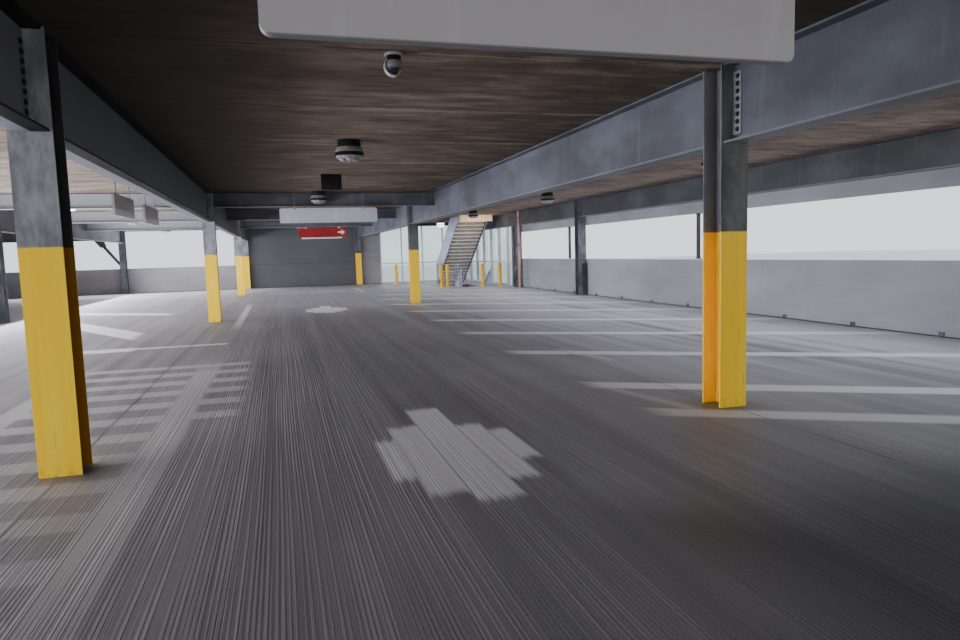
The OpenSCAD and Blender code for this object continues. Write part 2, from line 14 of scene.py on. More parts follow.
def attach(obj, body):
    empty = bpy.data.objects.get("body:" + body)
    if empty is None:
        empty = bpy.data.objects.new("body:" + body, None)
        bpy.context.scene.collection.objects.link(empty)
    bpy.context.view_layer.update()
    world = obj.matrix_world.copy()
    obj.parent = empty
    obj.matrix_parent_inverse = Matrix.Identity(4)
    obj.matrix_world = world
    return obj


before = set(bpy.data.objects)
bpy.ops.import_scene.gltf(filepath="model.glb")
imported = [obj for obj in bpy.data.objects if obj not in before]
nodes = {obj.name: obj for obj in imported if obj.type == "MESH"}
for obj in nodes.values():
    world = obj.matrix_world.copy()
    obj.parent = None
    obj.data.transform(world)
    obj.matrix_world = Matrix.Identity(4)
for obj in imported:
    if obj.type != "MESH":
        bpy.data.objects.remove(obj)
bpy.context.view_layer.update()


# Viewpoint
# Someone stands in the aisle of the upper covered floor, at eye height, with
# a wide lens turned a little to the east and tipped down.
eye = Vector((2.38875, -7.31345, 2.79055))
turn, tip, lean = np.radians((15.982, 5.619, 1.677))
ahead = np.array((np.sin(turn) * np.cos(tip), np.cos(turn) * np.cos(tip), -np.sin(tip)))
level_right = np.array((np.cos(turn), -np.sin(turn), 0))
level_down = np.cross(ahead, level_right)
right = np.cos(lean) * level_right + np.sin(lean) * level_down
down = np.cross(ahead, right)
camera_data = bpy.data.cameras.new("viewpoint")
camera_data.sensor_width = 36
camera_data.lens = 25.96
camera_data.clip_start = 0.02
camera_data.clip_end = 500
camera = bpy.data.objects.new("viewpoint", camera_data)
bpy.context.scene.collection.objects.link(camera)
camera.matrix_world = Matrix.Translation(eye) @ Matrix(np.stack((right, -down, -ahead), 1)).to_4x4()
bpy.context.scene.camera = camera


# Studio
# A pale floor that runs out to the horizon, a pale even sky, and soft lamps.
# The lamps inside stand for the daylight that the open bays let in.
def rgb(red, green, blue):
    """A colour as the eye sees it, 0 to 255, turned into the shader's linear values."""
    shade = np.array((red, green, blue)) / 255
    return tuple(np.where(shade <= 0.04045, shade / 12.92, ((shade + 0.055) / 1.055) ** 2.4))


def toned(color, share):
    """A colour with its levels multiplied by a share."""
    return rgb(*(np.array(color) * share))


def new_piece(name, shape, material):
    """An object at the origin, placed by its mesh. A shape is its corners and a list of arrays of faces."""
    corners, faces = shape
    polygons = [face for group in faces for face in group.tolist()]
    mesh = bpy.data.meshes.new(name)
    mesh.from_pydata(np.asarray(corners, float).tolist(), [], polygons)
    mesh.shade_smooth()
    mesh.set_sharp_from_angle(angle=0.6)
    mesh.materials.append(material)
    piece = bpy.data.objects.new(name, mesh)
    bpy.context.scene.collection.objects.link(piece)
    return piece


class Value:
    """A number that varies over a surface. It wraps a node's socket, and each operator adds a Math node."""

    def __init__(self, finish, socket):
        self.finish = finish
        self.socket = socket

    def math(self, operation, *others):
        return self.finish.add("ShaderNodeMath", {"operation": operation}, [self, *others])

    def __add__(self, other):
        return self.math("ADD", other)

    def __sub__(self, other):
        return self.math("SUBTRACT", other)

    def __rsub__(self, other):
        return (self * -1).math("ADD", other)

    def __mul__(self, other):
        return self.math("MULTIPLY", other)

    def __abs__(self):
        return self.math("ABSOLUTE")

    def __or__(self, other):
        """The larger of the two, so that masks join."""
        return self.math("MAXIMUM", other)

    def __and__(self, other):
        """The smaller of the two, so that masks cut each other."""
        return self.math("MINIMUM", other)

    def rise(self, low, high):
        """A smooth step from 0 at low to 1 at high."""
        sockets = [self, low, high]
        return self.finish.add("ShaderNodeMapRange", {"interpolation_type": "SMOOTHSTEP"}, sockets)

    def near(self, centre, half_width, soft):
        """1 within half_width of centre, fading to 0 over the soft distance."""
        return abs(self - centre).rise(half_width + soft / 2, half_width - soft / 2)

    def repeat(self, pitch):
        """Signed distance to the nearest whole multiple of pitch."""
        return self.math("WRAP", pitch / 2, -pitch / 2)


class Finish:
    """One material: a Principled shader on patterns that are fixed to the model's own space."""

    def __init__(self, name, **constants):
        self.material = bpy.data.materials.new(name)
        self.material.use_nodes = True
        self.tree = self.material.node_tree
        self.shader = self.tree.nodes["Principled BSDF"]
        self.place = self.add("ShaderNodeTexCoord", out="Object")
        for socket, constant in constants.items():
            self.shader.inputs[socket.replace("_", " ")].default_value = constant

    def add(self, kind, settings=None, sockets=None, out=0):
        """Adds a node: its settings first, then its sockets by number or name, as values or links."""
        node = self.tree.nodes.new(kind)
        for key, value in (settings or {}).items():
            setattr(node, key, value)
        pairs = sockets.items() if isinstance(sockets, dict) else enumerate(sockets or ())
        for key, value in pairs:
            if isinstance(value, Value):
                self.tree.links.new(value.socket, node.inputs[key])
            elif node.inputs[key].type == "RGBA":
                node.inputs[key].default_value = (*value, 1)
            else:
                node.inputs[key].default_value = value
        return Value(self, node.outputs[out])

    def axis(self, number, place=None):
        """One coordinate of a place: 0 is X, 1 is Y and 2 is Z."""
        return self.add("ShaderNodeSeparateXYZ", None, [place or self.place], number)

    def real_place(self):
        """The three coordinates in metres of the real building, from its south-west corner column."""
        x, y, z = (self.axis(number) * dim for number in range(3))
        return x + 2.5 * bay, y + 1.5 * row_pitch, z

    def over_floor(self):
        """The height over the floor below, in metres of the real building."""
        return (self.axis(2) * dim - slab_t).math("WRAP", storey, 0.0)

    def noise(self, scale, detail, rough=0.55):
        """Cloudy noise from 0 to 1. The scale is how often it turns over in a metre, on each axis."""
        stretched = self.add("ShaderNodeMapping", None, {"Vector": self.place, "Scale": scale})
        sockets = {"Vector": stretched, "Scale": 1, "Detail": detail, "Roughness": rough}
        return self.add("ShaderNodeTexNoise", None, sockets)

    def mix(self, factor, under, over):
        """The colour under, turning into the colour over as the factor goes from 0 to 1."""
        return self.add("ShaderNodeMix", {"data_type": "RGBA"}, {0: factor, 6: under, 7: over}, 2)

    def set(self, color=None, roughness=None, height=None, relief=0.001, **others):
        """Connects what varies. The height is from 0 to 1, and relief is its depth in metres."""
        links = {"Base Color": color, "Roughness": roughness}
        links.update({key.replace("_", " "): value for key, value in others.items()})
        if height is not None:
            links["Normal"] = self.add("ShaderNodeBump", None, {"Distance": relief, "Height": height})
        for key, value in links.items():
            if value is not None:
                self.tree.links.new(value.socket, self.shader.inputs[key])
        return self.material


def dress(material, *names):
    """Gives CAD nodes a material in place of their plain one."""
    for name in names:
        nodes[name].data.materials.clear()
        nodes[name].data.materials.append(material)


def soft_lamp(name, place, toward, size, power, tint=(244, 247, 255)):
    """A rectangular lamp that shines from place toward another point and isn't seen itself."""
    data = bpy.data.lights.new(name, "AREA")
    data.shape = "RECTANGLE"
    data.size, data.size_y = size
    data.energy = power
    data.color = rgb(*tint)
    lamp = bpy.data.objects.new(name, data)
    bpy.context.scene.collection.objects.link(lamp)
    lamp.location = place
    lamp.rotation_mode = "QUATERNION"
    lamp.rotation_quaternion = (Vector(toward) - Vector(place)).to_track_quat("-Z", "Y")
    lamp.visible_camera = False
    lamp.visible_glossy = False


# The scale, and the sizes of the real building that repeat all through it
dim = 2.0
bay, row_pitch, storey, slab_t = 6.1, 17.0, 3.68, 0.25
reach, under = 160, -0.002
pale = Finish("studio_pale", Roughness=0.9)
pale.set(color=pale.mix(pale.noise((2, 2, 2), 1), rgb(212, 212, 210), rgb(220, 220, 218)))
floor_corners = [(x * reach, y * reach, under) for x, y in ((-1, -1), (1, -1), (1, 1), (-1, 1))]
new_piece("studio_floor", (floor_corners, [np.array([[0, 1, 2, 3]])]), pale.material)
world = bpy.data.worlds.new("studio_sky")
world.use_nodes = True
world.node_tree.nodes["Background"].inputs["Color"].default_value = (*rgb(236, 242, 250), 1)
world.node_tree.nodes["Background"].inputs["Strength"].default_value = 1.6
bpy.context.scene.world = world
soft_lamp("sky_east", (19, -2, 13), (3, -2, 2.0), (30, 10), 1300)
soft_lamp("sky_west", (-19, -2, 13), (-3, -2, 2.0), (30, 10), 2000)
soft_lamp("sky_north", (2, 34, 15), (1, 6, 2.0), (24, 10), 2000)
soft_lamp("sky_south", (4, -34, 22), (0, 0, 2), (26, 18), 1400, (255, 248, 238))
soft_lamp("band_east", (7.5, -2.2, 2.93), (0, -2.2, 2.3), (20, 0.6), 50)
soft_lamp("band_west", (-1.4, 3.0, 2.6), (6, 3.0, 2.3), (17.8, 1.0), 384)
soft_lamp("band_west_up", (-1.4, 2.6, 2.3), (6, 2.6, 3.6), (18, 0.6), 600)
soft_lamp("band_north", (-1.0, 12.6, 2.93), (0, 0, 2.4), (7, 0.6), 260)
soft_lamp("band_south", (3.2, -12.0, 2.75), (3.2, 2, 2.6), (5.5, 1.2), 185, (255, 250, 240))
soft_lamp("left_bay_up", (0, 4.0, 2.1), (0, 4.0, 5), (2.2, 15), 75, (255, 248, 236))
soft_lamp("left_bay_down", (0, 4.0, 3.3), (0, 4.0, 0), (2.2, 15), 92)
soft_lamp("aisle_down", (3.05, 7.5, 3.5), (3.05, 7.5, 0), (2.4, 9), 60)
soft_lamp("aisle_end", (3.05, 8.6, 2.8), (3.05, 12.7, 3.3), (2.4, 0.8), 14)
soft_lamp("right_bay_down", (6.1, 3.2, 3.3), (6.1, 3.2, 0), (2.2, 17), 118)
soft_lamp("stair_glow", (6.95, 8.3, 3.2), (6.95, 8.7, 3.6), (0.8, 0.2), 5, (255, 222, 180))
soft_lamp("ground_east", (7.5, 0, 1.0), (0, 0, 0.9), (22, 0.7), 120)
soft_lamp("ground_west", (-7.5, 0, 1.0), (0, 0, 0.9), (22, 0.7), 120)


# Decks and ramps
# Precast planks with a concrete topping, raked along the driving direction
# while wet. Old stall lines were blasted off and left pale, rough scars.
aisle_west, aisle_east = 3 * bay, 4 * bay
deck_2_top, deck_3_top = slab_t + storey, slab_t + 2 * storey
tine_pitch, plank_w = 0.0254, 2.428
stall_x, stall_half, stall_pitch, stall_slope = 27.05, 3.45, 3.03, 0.5774
line_foot_x, line_foot_y, front_foot_y = 24.3, 18.1, 16.55
scar_half = 0.2
faint_marks = [(27.72, 17.6), (29.13, 20.8)]
island_x, island_y, island_half_x, island_half_y = 17.95, 17.6, 0.95, 4.95
hatch_y, hatch_pitch = 22.4, 0.74
cross_bars = [(17.7, 1.25, 0.1, 25.25, 0.1, 0.06), (16.6, 0.7, 0.2, 25.2, 0.26, 0.1)]
stray_bars = [(18.9, 0.15, 18.3, 3.9, 0.45), (17.1, 0.13, 18.5, 4.0, 0.4), (18.95, 0.09, 32.9, 3.9, 0.7),
              (23.65, 0.08, 44.5, 2.0, 0.7)]
slanted_bars = [(0.68, 36.4 + 0.68 * 13.4, 15.0, 1.7), (1.76, 31.6 + 1.76 * 14.7, 15.4, 1.5)]
arrow_strips = [(20.75, 20.93, 15.8, 16.9), (20.93, 21.22, 15.4, 17.33), (21.22, 21.56, 15.2, 18.02),
                (21.56, 21.8, 15.55, 17.2), (21.8, 21.98, 16.0, 16.92)]
arrow_repeats = (0, 16.4)


def scars(x, y, teeth):
    """Mask of the blasted-off markings: angled stall lines, arrows, a hatched island and stray bars.

    A stall line is where x times the slope plus y is a constant, again at every stall_pitch. A
    strip of an arrow is its start and end along x, then along y. A bar is its middle and half
    its size along x, then along y; a cross bar also has how soft its edges are, and a stray
    bar its strength. A slanted bar is a slope, the constant on its middle line, and its middle
    and half its size along x.
    """
    rows = x * stall_slope + y
    foot = stall_slope * line_foot_x
    front = x.near(stall_x, stall_half, 0.35)
    line = abs((rows - (line_foot_y + foot)).repeat(stall_pitch)).rise(scar_half + 0.06, scar_half - 0.05)
    mask = line & front & y.rise(41.5, 40.5) & rows.rise(30.9, 31.2)
    mask = mask * 0.75 | (rows.near(front_foot_y + foot, scar_half - 0.02, 0.12) & front) * 0.65
    for along, y_mid in faint_marks:
        mask = mask | ((x + y * 0.22).near(along, 0.06, 0.2) & y.near(y_mid, 0.7, 0.3)) * 0.35
    ragged = y + (teeth - 0.5) * 0.14
    for shift in arrow_repeats:
        for x0, x1, y0, y1 in arrow_strips:
            strip = ragged.near((y0 + y1) / 2 + shift, (y1 - y0) / 2, 0.2)
            mask = mask | (x.near((x0 + x1) / 2, (x1 - x0) / 2, 0.04) & strip)
    hatch = abs((y - hatch_y).repeat(hatch_pitch)).rise(0.2, 0.13) & y.near(island_y, island_half_y, 0.1)
    hatch = hatch * (y.rise(13.5, 19.5) * 0.6 + 0.4)
    tongue = x.near(island_x + 1.2, 0.35, 0.2) & y.rise(18.3, 18.4)
    island = (x.near(island_x, island_half_x, 0.06) | tongue) & hatch
    mask = mask | (island * 0.42)
    for bar_x, half_x, bar_y, half_y, strength in stray_bars:
        mask = mask | (x.near(bar_x, half_x, 0.08) & y.near(bar_y, half_y, 2.4)) * strength
    for bar_x, half_x, soft_x, bar_y, half_y, soft_y in cross_bars:
        mask = mask | (x.near(bar_x, half_x, soft_x) & y.near(bar_y, half_y, soft_y))
    for slope, centre, x_mid, x_half in slanted_bars:
        slanted = (x * slope + y).near(centre, 0.25 * (1 + slope), 0.2)
        mask = mask | (slanted & x.near(x_mid, x_half, 0.4))
    return mask


def deck_finish(name, top_level):
    """Raked topping above, plank soffit below, told apart by the height inside the slab.

    The rake leaves a groove every tine_pitch: the distance of x from the nearest whole pitch,
    with a slow wander along y, is dark near 0, painted shade in the groove, and pale halfway to
    the next, a painted highlight on the ridge. How deep each tooth bit changes from groove to
    groove, and the scars have ground the grooves away. The aisle's near end is darker, partly
    tyre dirt and partly painted shade, and the floor is darker round the column feet. The
    soffit has painted shade by the aisle's west girder and towards the near end.
    """
    finish = Finish(name, Specular_IOR_Level=0.5)
    x, y, z = finish.real_place()
    top = z.rise(top_level - 0.16, top_level - 0.1)
    teeth = finish.noise((80, 0.35, 1), 0)
    passes = finish.noise((6, 0.14, 1), 1, 0.6)
    cloud = finish.noise((0.9, 0.45, 1), 2, 0.62)
    grain = finish.noise((300, 230, 1), 0)
    tine = abs((x + (y * 0.8 + x * 3.1).math("SINE") * 0.01).repeat(tine_pitch))
    mask = scars(x, y, teeth)
    bite = teeth.rise(0.4, 0.66) * (passes.rise(0.34, 0.62) * 0.75 + 0.25) * (1 - mask * 0.8)
    concrete = finish.mix(passes.rise(0.3, 0.7), rgb(119, 118, 124), rgb(144, 143, 149))
    concrete = finish.mix(teeth.rise(0.5, 0.3) * 0.25, concrete, rgb(70, 68, 74))
    # Dark in the grooves, painted shade, and pale on the ridges, a painted highlight.
    concrete = finish.mix(tine.rise(0.0065, 0.0015) * (bite * 0.85 + 0.12), concrete, rgb(36, 34, 39))
    concrete = finish.mix(tine.rise(0.0075, 0.0115) * bite * 0.5, concrete, rgb(190, 187, 193))
    concrete = finish.mix(grain.rise(0.52, 0.75) * 0.45, concrete, rgb(180, 177, 184))
    concrete = finish.mix(grain.rise(0.46, 0.26) * 0.35, concrete, rgb(58, 56, 61))
    concrete = finish.mix(cloud.rise(0.45, 0.7) * 0.35, concrete, rgb(160, 157, 164))
    # Paler in the east bay and faintly west of the aisle: partly pale dust, partly painted light.
    dust_and_light = x.rise(23.0, 28.6) * y.rise(15.0, 20.0) * 0.5 + x.rise(18.6, 12.0) * 0.15
    dust_and_light = dust_and_light * (passes * 0.5 + cloud * 0.5).rise(0.3, 0.55)
    concrete = finish.mix(dust_and_light, concrete, rgb(202, 199, 207))
    # Darker at the aisle's near end: partly tyre dirt, partly painted shade.
    tyre_dirt_and_shade = x.rise(21.3, 22.9) & y.rise(15.4, 13.7) & z.near(deck_2_top, 0.3, 0.1)
    concrete = finish.mix(tyre_dirt_and_shade * 0.78, concrete, rgb(26, 25, 28))
    # Paler over the near west half of the aisle: painted light from the bright bay to the west.
    concrete = finish.mix((x.rise(21.5, 19.5) & y.rise(18.5, 16.0)) * 0.2, concrete, rgb(164, 162, 168))
    # Paler towards the north: a painted sheen of daylight on the far floor at a grazing angle.
    concrete = finish.mix(y.rise(20, 42) * 0.25, concrete, rgb(204, 201, 208))
    foot = abs(x.repeat(bay)).rise(0.42, 0.16) & abs(y.repeat(row_pitch)).rise(0.42, 0.16)
    concrete = finish.mix(foot * cloud.rise(0.3, 0.6) * 0.45, concrete, rgb(66, 60, 56))
    topping = finish.mix(mask * (grain.rise(0.2, 0.6) * 0.2 + 0.76), concrete, rgb(224, 223, 228))
    seam = abs(y.repeat(plank_w)).rise(0.09, 0.02)
    drag = finish.noise((2.4, 9.5, 3), 4, 0.72)
    stain = finish.noise((1.3, 2.0, 0.5), 1, 0.6)
    tone = finish.mix(x.rise(21.7, 23.8) * 0.75, rgb(121, 106, 94), rgb(82, 71, 62))
    # Darker over the near part of the aisle soffit, east of its middle: painted shade.
    tone = finish.mix((x.rise(21.2, 22.6) & y.rise(18.5, 15)) * 0.6, tone, rgb(48, 41, 36))
    east_bay = x.rise(aisle_east - 0.1, aisle_east + 0.1)
    tone = finish.mix(east_bay, tone, rgb(126, 110, 99))
    # Darker over the near part of the east bay's soffit: painted shade.
    tone = finish.mix((east_bay & y.rise(20, 14)) * 0.5, tone, rgb(62, 54, 48))
    tone = finish.mix(x.rise(aisle_west + 0.1, aisle_west - 0.1), tone, rgb(126, 114, 103))
    soffit = finish.mix(drag.rise(0.54, 0.38) * 0.45, tone, rgb(42, 36, 32))
    soffit = finish.mix(drag.rise(0.52, 0.66) * 0.4, soffit, rgb(158, 145, 134))
    soffit = finish.mix(stain.rise(0.42, 0.68) * 0.4, soffit, rgb(46, 40, 36))
    # Paler along the plank joints: partly pale streaks, partly painted light over the joints' shade.
    soffit = finish.mix(seam * (drag.rise(0.38, 0.56) * 0.38 + 0.08), soffit, rgb(166, 153, 142))
    # Painted shade on the soffit beside the aisle's west girder.
    girder_shade = x.rise(20.7, 19.2) & x.rise(aisle_west - 0.05, aisle_west + 0.1)
    soffit = finish.mix(girder_shade * 0.86, soffit, rgb(48, 42, 38))
    height = (tine.rise(0.0015, 0.0065) * teeth.rise(0.35, 0.65) * 0.75 + grain * 0.25) * top
    rough = top * (-0.3 - passes * 0.2) + 0.94
    return finish.set(color=finish.mix(top, soffit, topping), roughness=rough, height=height, relief=0.0012)


dress(deck_finish("deck_2_concrete", deck_2_top), "deck_2_west", "deck_2_aisle", "deck_2_east")
dress(deck_finish("deck_3_concrete", deck_3_top), "deck_3_west", "deck_3_aisle", "deck_3_east")
dress(deck_finish("ground_concrete", slab_t), "ground_slab", "ramp_1", "ramp_2")


# Joints between the decks and along the walls
# Grey elastic sealant, pressed into the gap between two strips of deck and
# tooled nearly flush, and a dark bead along the foot of the walls.
def solids(*names):
    """The lowest and highest corner of each separate solid of these CAD nodes.

    Corners in the same place are one, and each takes the lowest number among the corners that
    its edges lead to, again and again, until every solid has one number of its own.
    """
    boxes = []
    for name in names:
        mesh = nodes[name].data
        places = np.empty(3 * len(mesh.vertices))
        mesh.vertices.foreach_get("co", places)
        corners, same = np.unique(places.reshape(-1, 3).round(5), axis=0, return_inverse=True)
        ends = np.empty(2 * len(mesh.edges), np.int32)
        mesh.edges.foreach_get("vertices", ends)
        ends = same.reshape(-1)[ends.reshape(-1, 2)]
        label, settled = np.arange(len(corners)), False
        while not settled:
            lowest = label.copy()
            np.minimum.at(lowest, ends[:, 0], label[ends[:, 1]])
            np.minimum.at(lowest, ends[:, 1], label[ends[:, 0]])
            lowest = lowest[lowest]
            settled = (lowest == label).all()
            label = lowest
        boxes += [(corners[label == one].min(0), corners[label == one].max(0)) for one in np.unique(label)]
    return np.array(boxes)


def gaps(boxes, axis, widest=0.02):
    """The narrow spaces between boxes that face each other along an axis, as boxes."""
    found = []
    for low, high in boxes:
        for next_low, next_high in boxes:
            start, end = np.maximum(low, next_low), np.minimum(high, next_high)
            start[axis], end[axis] = high[axis], next_low[axis]
            if (end - start > 0.001).all() and end[axis] - start[axis] < widest:
                found.append((start, end))
    return np.array(found)


def stack_faces(levels, around):
    """Faces of a stack of rings of corners, with a flat face at each end."""
    ring = np.arange(around)
    after = np.roll(ring, -1)
    start = np.arange(levels - 1)[:, None] * around
    sides = np.stack((start + ring, start + after, start + around + after, start + around + ring), -1)
    return [sides.reshape(-1, 4), ring[None, ::-1], ring[None] + (levels - 1) * around]


def joined(*shapes):
    """Several shapes as one."""
    starts = np.cumsum([0] + [len(corners) for corners, faces in shapes])
    corners = np.concatenate([corners for corners, faces in shapes])
    return corners, [group + start for start, (_, faces) in zip(starts, shapes) for group in faces]


def copies(shape, places, axes=((1, 0, 0), (0, 1, 0), (0, 0, 1))):
    """A shape repeated at each place, with its own X, Y and Z pointing along the given axes."""
    corners, faces = shape
    places = np.reshape(places, (-1, 1, 3))
    starts = np.arange(len(places))[:, None, None] * len(corners)
    return ((corners @ np.array(axes, float) + places).reshape(-1, 3),
            [(group + starts).reshape(-1, group.shape[1]) for group in faces])


def slabs(boxes, cut):
    """Boxes with every edge cut at 45 degrees: four level rings of eight corners, the outer two drawn in."""
    boxes = np.reshape(boxes, (-1, 2, 3))
    cut = np.minimum(cut, (boxes[:, 1] - boxes[:, 0]).min(1) / 5)
    rings = []
    for z_side, z_cut, inset in ((0, 0, 1), (0, 1, 0), (1, -1, 0), (1, 0, 1)):
        x0, y0 = (boxes[:, 0, :2] + (cut * inset)[:, None]).T
        x1, y1 = (boxes[:, 1, :2] - (cut * inset)[:, None]).T
        z = boxes[:, z_side, 2] + z_cut * cut
        ring_x = (x0 + cut, x1 - cut, x1, x1, x1 - cut, x0 + cut, x0, x0)
        ring_y = (y0, y0, y0 + cut, y1 - cut, y1, y1, y1 - cut, y0 + cut)
        rings.append(np.stack((ring_x, ring_y, (z,) * 8), -1))
    corners = np.stack(rings, 1).reshape(8, 4, -1, 3).transpose(2, 1, 0, 3).reshape(-1, 3)
    starts = np.arange(len(boxes))[:, None, None] * 32
    return corners, [(group + starts).reshape(-1, group.shape[1]) for group in stack_faces(4, 8)]


def steel_finish(name, light, dark, flange=None, dusty=0.25, patches=(), **constants):
    """Paint with a soft bloom, runs and fine dust.

    A flange is the height over each floor of a flange edge that gets a painted highlight. A patch
    is an axis, two places along it in the real building, a share and a colour: past the second
    place the paint takes that share of the colour, as painted shade where a part gets less
    daylight and painted light where it gets more, and on the board rods as their own darker paint.
    """
    finish = Finish(name, **{"Specular_IOR_Level": 0.4, **constants})
    bloom = finish.noise((1.1, 1.1, 2.6), 3, 0.6)
    runs = finish.noise((14, 14, 1.6), 2, 0.55)
    dust = finish.noise((60, 60, 60), 1, 0.6)
    color = finish.mix(bloom.rise(0.35, 0.7), rgb(*dark), rgb(*light))
    color = finish.mix(runs.rise(0.55, 0.8) * 0.35, color, rgb(*np.minimum(np.array(light) * 1.15, 255)))
    color = finish.mix(dust.rise(0.55, 0.75) * dusty, color, toned(dark, 0.8))
    if flange is not None:
        # A painted highlight along the flange edge.
        edge = finish.over_floor().near(flange, 0.012, 0.004)
        color = finish.mix(edge * 0.25, color, rgb(166, 168, 172))
    for axis, start, end, share, tone in patches:
        color = finish.mix(finish.real_place()[axis].rise(start, end) * share, color, rgb(*tone))
    return finish.set(color=color, roughness=0.66 - bloom * 0.2, height=dust, relief=0.0003)


deck_strips = solids(*(f"deck_{level}_{strip}" for level in (2, 3) for strip in ("west", "aisle", "east")))
seams = gaps(deck_strips, 0)
seam_deep, seam_dip = 0.008, 0.0004
seams[:, 0, 2] = seams[:, 1, 2] - seam_deep
seams[:, 1, 2] -= seam_dip
west, south, _ = deck_strips[:, 0].min(0)
east, north, _ = deck_strips[:, 1].max(0)
east_end = solids("panels_east")[:, 1, 1].max()
north_end = solids("panels_north")[:, 1, 0].max()
bead_w, bead_h = 0.014, 0.009
beads = []
for level in np.unique(deck_strips[:, 1, 2].round(4)):
    beads += [((east - bead_w, south, level), (east, east_end, level + bead_h)),
              ((west, south, level), (west + bead_w, north, level + bead_h)),
              ((west + bead_w, north - bead_w, level), (north_end, north, level + bead_h)),
              ((west + bead_w, south, level), (east - bead_w, south + bead_w, level + bead_h))]
filler = steel_finish("deck_filler", (128, 126, 131), (98, 96, 101))
sealant = steel_finish("joint_sealant", (66, 66, 70), (44, 44, 48))
for piece in (new_piece("deck_sealant", slabs(seams, 0.0004), filler),
              new_piece("wall_foot_bead", slabs(beads, 0.003), sealant)):
    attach(piece, "root")


# Steel columns
# Rolled wide-flange columns in grey paint, gone cloudy and scratched. Beside
# the aisle each is coated yellow to about head height.
# The recess between the flanges has painted shade and painted light.
coat_top, recess_x, recess_y = 1.78, 0.165, 0.15


def column_finish(name, light, dark, yellow_top=0, share=0.3, deep=(26, 23, 21), deep_coat=(26, 23, 21)):
    """Cloudy grey paint with thin scratches, and a yellow coat up to yellow_top over each floor.

    Between the flanges the paint has a share of the colour deep, and the coat of deep_coat:
    the light and shade of the recess, painted in.
    """
    finish = Finish(name, Specular_IOR_Level=0.4)
    x, y, _ = finish.real_place()
    z = finish.over_floor()
    cloud = finish.noise((7, 7, 3.2), 4, 0.7)
    scuff = finish.noise((30, 30, 14), 3, 0.7)
    scratch = finish.noise((80, 80, 4), 1, 0.5)
    grey = finish.mix(cloud.rise(0.36, 0.66), rgb(*dark), rgb(*light))
    grey = finish.mix(scuff.rise(0.54, 0.74) * 0.3, grey, toned(dark, 0.75))
    grey = finish.mix(scratch.rise(0.69, 0.74) * 0.5, grey, toned(dark, 0.55))
    recess = abs(x.repeat(bay)).rise(recess_x, recess_x - 0.01)
    recess = recess & abs(y.repeat(row_pitch)).rise(recess_y, recess_y - 0.008)
    grey = finish.mix(recess * share, grey, rgb(*deep))
    color, rough = grey, 0.72 - cloud * 0.2
    if yellow_top:
        streak = finish.noise((30, 30, 1.2), 2, 0.5)
        coat = finish.mix(streak.rise(0.35, 0.7), rgb(255, 206, 34), rgb(255, 216, 52))
        coat = finish.mix(z.rise(0.16, 0.0) * scuff.rise(0.45, 0.7) * 0.4, coat, rgb(140, 108, 60))
        coat = finish.mix(scratch.rise(0.7, 0.74) * 0.4, coat, rgb(170, 130, 44))
        coat = finish.mix(recess * share, coat, rgb(*deep_coat))
        covered = z.rise(yellow_top + 0.008, yellow_top - 0.008)
        color, rough = finish.mix(covered, grey, coat), 0.62 - scuff * 0.2
    return finish.set(color=color, roughness=rough, height=scratch, relief=0.0004)


# West of the aisle: deep painted shade in the recess.
dress(column_finish("column_pale_yellow", (148, 152, 159), (103, 107, 114), coat_top, 0.88,
                    deep_coat=(110, 58, 20)), "columns_aisle_west")
# East of the aisle: painted light on the grey in the recess, painted shade on the coat.
dress(column_finish("column_dark_yellow", (104, 106, 108), (73, 75, 76), coat_top, 0.3,
                    (156, 152, 164), (255, 180, 0)), "columns_aisle_east")
# Other columns: painted shade in the recess, at the default share.
dress(column_finish("column_grey", (120, 124, 130), (80, 84, 90)),
      "columns_west", "columns_ramp", "columns_east")


# Girders and beams
# Rolled sections bolted between the columns, in blue-grey shop paint with a dusty bloom on the
# webs and a painted highlight on the flange edges, with painted shade and light set by place.
girder_foot, edge_foot, beam_foot = 2.65, 2.8, 3.03
end_beam_y = 3 * row_pitch - 1
# Patches of painted shade on the near ends of the girders and edge girders.
near_end_shade, edge_near_end = (1, 20, 10, 0.6, (40, 42, 46)), (1, 20, 12, 0.4, (40, 42, 46))
# Patches of painted light on the west face of the aisle's west girder and the tie beams' west halves.
lit_west_face = (0, aisle_west + 0.01, aisle_west + 0.002, 0.75, (150, 152, 160))
lit_west_half = (0, aisle_west - 0.05, aisle_west - 0.25, 0.7, (160, 160, 168))
dress(steel_finish("girder_blue_grey", (102, 104, 114), (76, 77, 85), girder_foot, patches=[near_end_shade]),
      "girders_ramp", "girders_aisle_east")
# The aisle's west girder: dark paint as painted shade, with painted light west of its web.
dress(steel_finish("girder_shade_and_light", (46, 46, 47), (33, 33, 33), patches=[lit_west_face],
                   Specular_IOR_Level=0.12), "girders_aisle_west")
# The west edge girder is darker with painted shade.
dress(steel_finish("edge_girder_grey", (86, 88, 91), (66, 68, 71), edge_foot,
                   patches=[(0, 1.0, 0.4, 0.6, (56, 54, 52)), edge_near_end]), "edge_girders")
# The north end beam is darker with painted shade.
dress(steel_finish("beam_dark_grey", (100, 102, 108), (76, 77, 82), beam_foot,
                   patches=[lit_west_half, (1, end_beam_y, end_beam_y + 0.4, 0.7, (72, 68, 65))]), "tie_beams")
dress(steel_finish("ramp_beam_grey", (100, 102, 108), (76, 77, 82)), "ramp_beams")
dress(steel_finish("guard_dark_grey", (84, 87, 93), (56, 58, 63)),
      "knee_braces", "parapet_posts", "column_guards")


# Bolted ends of the girders
# Each girder web is held by a plate with a row of eight hexagon bolts, nutted
# behind the web, and the plate is welded to the column's flange.
def turned(profile, sides=12):
    """A profile of (radius r, height) pairs turned round Z, lowest first: x = r cos t and y = r sin t."""
    angle = np.arange(sides) * 2 * np.pi / sides
    radius, height = np.array(profile, float).T[:, :, None]
    corners = np.stack(np.broadcast_arrays(radius * np.cos(angle), radius * np.sin(angle), height), -1)
    return corners.reshape(-1, 3), stack_faces(len(profile), sides)


